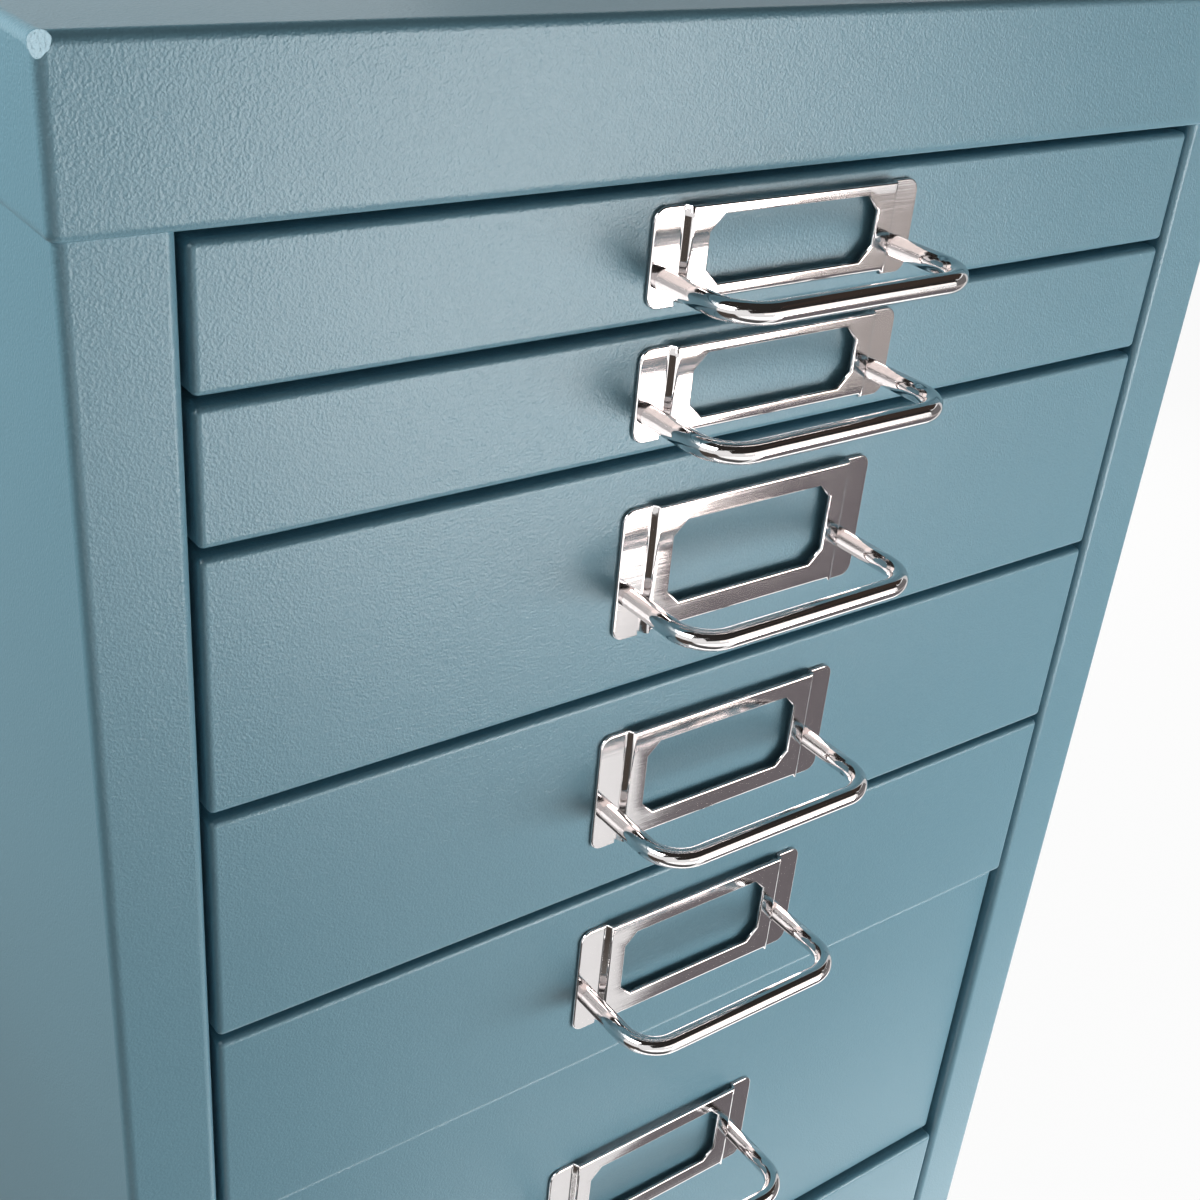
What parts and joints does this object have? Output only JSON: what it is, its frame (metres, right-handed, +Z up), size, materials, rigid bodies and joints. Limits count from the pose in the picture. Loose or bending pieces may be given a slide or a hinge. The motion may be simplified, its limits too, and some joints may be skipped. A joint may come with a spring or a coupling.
{
  "type": "multi-drawer cabinet",
  "caption": "Tall folded-steel cabinet of stacked drawers in graded depths, each pulled by a wire bail handle on a card-label frame and sliding on side channel runners.",
  "frame": {"origin": "bottom centre of the overall box at rest, handles included, on the floor under the feet", "axes": "+X to the right seen from the front, +Y from the front to the back so drawers open along -Y, +Z up"},
  "size_m": [0.28, 0.4036, 0.59],
  "materials": {
    "powder_coat": "grey-blue powder coat with a fine leathery texture, satin",
    "plated_steel": "bright nickel-chrome plating, polished",
    "screw_steel": "zinc-plated steel",
    "nylon": "natural nylon, waxy",
    "foot_rubber": "black rubber, matt"
  },
  "bodies": {
    "cabinet": {"top_cap": "powder_coat", "left_side": "powder_coat", "right_side": "powder_coat", "back_panel": "powder_coat", "base_rail": "powder_coat", "base_pan": "powder_coat", "feet": "foot_rubber", "left_runners": "powder_coat", "right_runners": "powder_coat", "front_guides": "nylon"},
    "drawer_1": {"drawer_1_front": "powder_coat", "drawer_1_tray": "powder_coat", "drawer_1_rear_glides": "nylon", "drawer_1_label_frame": "plated_steel", "drawer_1_handle": "plated_steel", "drawer_1_handle_screws": "screw_steel"},
    "drawer_2": {"drawer_2_front": "powder_coat", "drawer_2_tray": "powder_coat", "drawer_2_rear_glides": "nylon", "drawer_2_label_frame": "plated_steel", "drawer_2_handle": "plated_steel", "drawer_2_handle_screws": "screw_steel"},
    "drawer_3": {"drawer_3_front": "powder_coat", "drawer_3_tray": "powder_coat", "drawer_3_rear_glides": "nylon", "drawer_3_label_frame": "plated_steel", "drawer_3_handle": "plated_steel", "drawer_3_handle_screws": "screw_steel"},
    "drawer_4": {"drawer_4_front": "powder_coat", "drawer_4_tray": "powder_coat", "drawer_4_rear_glides": "nylon", "drawer_4_label_frame": "plated_steel", "drawer_4_handle": "plated_steel", "drawer_4_handle_screws": "screw_steel"},
    "drawer_5": {"drawer_5_front": "powder_coat", "drawer_5_tray": "powder_coat", "drawer_5_rear_glides": "nylon", "drawer_5_label_frame": "plated_steel", "drawer_5_handle": "plated_steel", "drawer_5_handle_screws": "screw_steel"},
    "drawer_6": {"drawer_6_front": "powder_coat", "drawer_6_tray": "powder_coat", "drawer_6_rear_glides": "nylon", "drawer_6_label_frame": "plated_steel", "drawer_6_handle": "plated_steel", "drawer_6_handle_screws": "screw_steel"},
    "drawer_7": {"drawer_7_front": "powder_coat", "drawer_7_tray": "powder_coat", "drawer_7_rear_glides": "nylon", "drawer_7_label_frame": "plated_steel", "drawer_7_handle": "plated_steel", "drawer_7_handle_screws": "screw_steel"},
    "drawer_8": {"drawer_8_front": "powder_coat", "drawer_8_tray": "powder_coat", "drawer_8_rear_glides": "nylon", "drawer_8_label_frame": "plated_steel", "drawer_8_handle": "plated_steel", "drawer_8_handle_screws": "screw_steel"}
  },
  "joints": [
    {"name": "drawer_1_slide", "type": "slide", "parent": "cabinet", "child": "drawer_1", "axis": [0, -1, 0], "range_m": [-0.0025, 0.295]},
    {"name": "drawer_2_slide", "type": "slide", "parent": "cabinet", "child": "drawer_2", "axis": [0, -1, 0], "range_m": [-0.0025, 0.295]},
    {"name": "drawer_3_slide", "type": "slide", "parent": "cabinet", "child": "drawer_3", "axis": [0, -1, 0], "range_m": [-0.0025, 0.295]},
    {"name": "drawer_4_slide", "type": "slide", "parent": "cabinet", "child": "drawer_4", "axis": [0, -1, 0], "range_m": [-0.0025, 0.295]},
    {"name": "drawer_5_slide", "type": "slide", "parent": "cabinet", "child": "drawer_5", "axis": [0, -1, 0], "range_m": [-0.0025, 0.295]},
    {"name": "drawer_6_slide", "type": "slide", "parent": "cabinet", "child": "drawer_6", "axis": [0, -1, 0], "range_m": [0, 0.298]},
    {"name": "drawer_7_slide", "type": "slide", "parent": "cabinet", "child": "drawer_7", "axis": [0, -1, 0], "range_m": [-0.0025, 0.295]},
    {"name": "drawer_8_slide", "type": "slide", "parent": "cabinet", "child": "drawer_8", "axis": [0, -1, 0], "range_m": [-0.0025, 0.295]}
  ]
}
